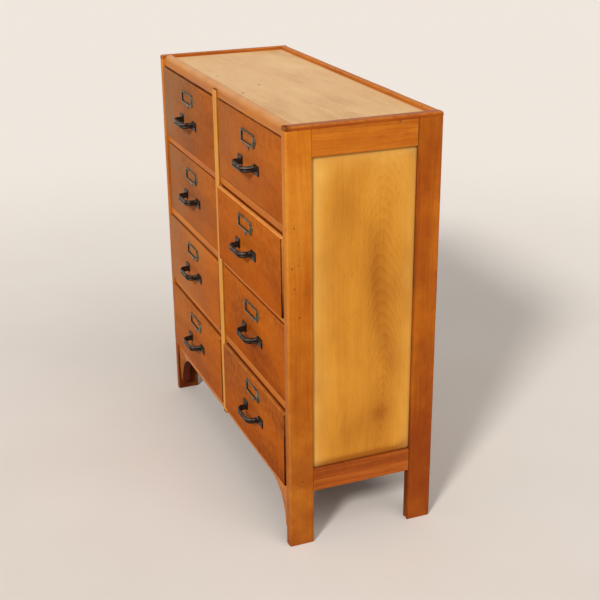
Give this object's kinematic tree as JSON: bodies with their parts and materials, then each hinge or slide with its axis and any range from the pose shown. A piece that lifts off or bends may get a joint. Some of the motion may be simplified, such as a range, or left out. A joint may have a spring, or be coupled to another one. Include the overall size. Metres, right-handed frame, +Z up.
{
  "type": "school drawer unit",
  "caption": "Free-standing wooden drawer unit with panelled side frames, a sunk top, a bracket apron and two columns of sliding drawers with bow handles and label frames.",
  "frame": {"origin": "on the floor, under the middle of the whole object's bounding box, handles included", "axes": "+Z up, the drawers face -Y, +X is the viewer's right when facing the drawers"},
  "size_m": [0.889, 0.3815, 0.9525],
  "materials": {
    "frame_wood": "aged orange-brown varnish, worn arrises",
    "rail_wood": "aged varnish, lighter orange",
    "muntin_wood": "pale golden varnish",
    "drawer_wood": "reddish brown satin varnish",
    "side_ply": "golden varnished plywood, darker at its edges",
    "top_ply": "pale tan varnished plywood, small dents",
    "inner_ply": "bare plywood",
    "inner_wood": "bare softwood",
    "box_wood": "bare wood",
    "dark_metal": "dark bronzed, rubbed at the edges",
    "label_metal": "darkened greenish bronze"
  },
  "bodies": {
    "carcass": {"front_left_stile": "frame_wood", "front_right_stile": "frame_wood", "rear_left_stile": "frame_wood", "rear_right_stile": "frame_wood", "left_side_top_rail": "frame_wood", "right_side_top_rail": "frame_wood", "left_side_bottom_rail": "frame_wood", "right_side_bottom_rail": "frame_wood", "left_side_panel": "side_ply", "right_side_panel": "side_ply", "left_top_lip": "frame_wood", "right_top_lip": "frame_wood", "back_top_lip": "frame_wood", "top_panel": "top_ply", "top_front_rail": "frame_wood", "divider_rail_1": "rail_wood", "divider_rail_2": "rail_wood", "divider_rail_3": "rail_wood", "front_apron": "rail_wood", "centre_muntin": "muntin_wood", "centre_partition": "inner_ply", "drawer_shelf_1": "inner_ply", "drawer_shelf_2": "inner_ply", "drawer_shelf_3": "inner_ply", "drawer_shelf_4": "inner_ply", "back_panel": "inner_ply", "rear_top_rail": "inner_wood", "rear_bottom_rail": "inner_wood"},
    "left_drawer_1": {"left_drawer_1_front": "drawer_wood", "left_drawer_1_box": "box_wood", "left_drawer_1_handle": "dark_metal", "left_drawer_1_label_frame": "label_metal"},
    "left_drawer_2": {"left_drawer_2_front": "drawer_wood", "left_drawer_2_box": "box_wood", "left_drawer_2_handle": "dark_metal", "left_drawer_2_label_frame": "label_metal"},
    "left_drawer_3": {"left_drawer_3_front": "drawer_wood", "left_drawer_3_box": "box_wood", "left_drawer_3_handle": "dark_metal", "left_drawer_3_label_frame": "label_metal"},
    "left_drawer_4": {"left_drawer_4_front": "drawer_wood", "left_drawer_4_box": "box_wood", "left_drawer_4_handle": "dark_metal", "left_drawer_4_label_frame": "label_metal"},
    "right_drawer_1": {"right_drawer_1_front": "drawer_wood", "right_drawer_1_box": "box_wood", "right_drawer_1_handle": "dark_metal", "right_drawer_1_label_frame": "label_metal"},
    "right_drawer_2": {"right_drawer_2_front": "drawer_wood", "right_drawer_2_box": "box_wood", "right_drawer_2_handle": "dark_metal", "right_drawer_2_label_frame": "label_metal"},
    "right_drawer_3": {"right_drawer_3_front": "drawer_wood", "right_drawer_3_box": "box_wood", "right_drawer_3_handle": "dark_metal", "right_drawer_3_label_frame": "label_metal"},
    "right_drawer_4": {"right_drawer_4_front": "drawer_wood", "right_drawer_4_box": "box_wood", "right_drawer_4_handle": "dark_metal", "right_drawer_4_label_frame": "label_metal"}
  },
  "joints": [
    {"name": "left_drawer_1_slide", "type": "slide", "parent": "carcass", "child": "left_drawer_1", "axis": [0, -1, 0], "range_m": [-0.005, 0.235]},
    {"name": "left_drawer_2_slide", "type": "slide", "parent": "carcass", "child": "left_drawer_2", "axis": [0, -1, 0], "range_m": [0, 0.24]},
    {"name": "left_drawer_3_slide", "type": "slide", "parent": "carcass", "child": "left_drawer_3", "axis": [0, -1, 0], "range_m": [-0.006, 0.234]},
    {"name": "left_drawer_4_slide", "type": "slide", "parent": "carcass", "child": "left_drawer_4", "axis": [0, -1, 0], "range_m": [-0.007, 0.233]},
    {"name": "right_drawer_1_slide", "type": "slide", "parent": "carcass", "child": "right_drawer_1", "axis": [0, -1, 0], "range_m": [0, 0.24]},
    {"name": "right_drawer_2_slide", "type": "slide", "parent": "carcass", "child": "right_drawer_2", "axis": [0, -1, 0], "range_m": [-0.01, 0.23]},
    {"name": "right_drawer_3_slide", "type": "slide", "parent": "carcass", "child": "right_drawer_3", "axis": [0, -1, 0], "range_m": [-0.001, 0.239]},
    {"name": "right_drawer_4_slide", "type": "slide", "parent": "carcass", "child": "right_drawer_4", "axis": [0, -1, 0], "range_m": [-0.009, 0.231]}
  ]
}
